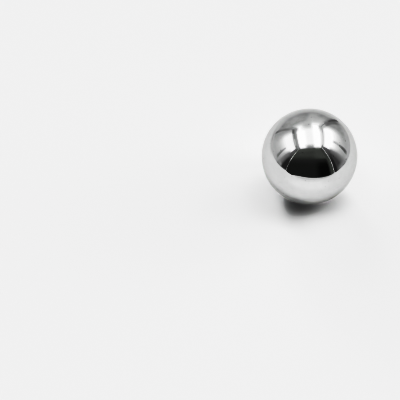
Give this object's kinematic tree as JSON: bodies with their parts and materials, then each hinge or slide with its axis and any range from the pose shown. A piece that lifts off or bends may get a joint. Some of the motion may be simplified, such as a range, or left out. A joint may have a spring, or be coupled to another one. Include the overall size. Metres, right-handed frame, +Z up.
{
  "type": "steel ball",
  "caption": "Solid polished steel ball, a plain sphere used in bearings, as a weight, and for bench and desk work.",
  "frame": {"origin": "the ball's centre", "axes": "+Z up, and -Z from the centre through the point where the ball touches what holds it; every line through the centre is an axis of symmetry"},
  "size_m": [0.0635, 0.0634, 0.0636],
  "materials": {
    "polished_steel": "polished"
  },
  "bodies": {
    "root": {"ball": "polished_steel"}
  },
  "joints": []
}
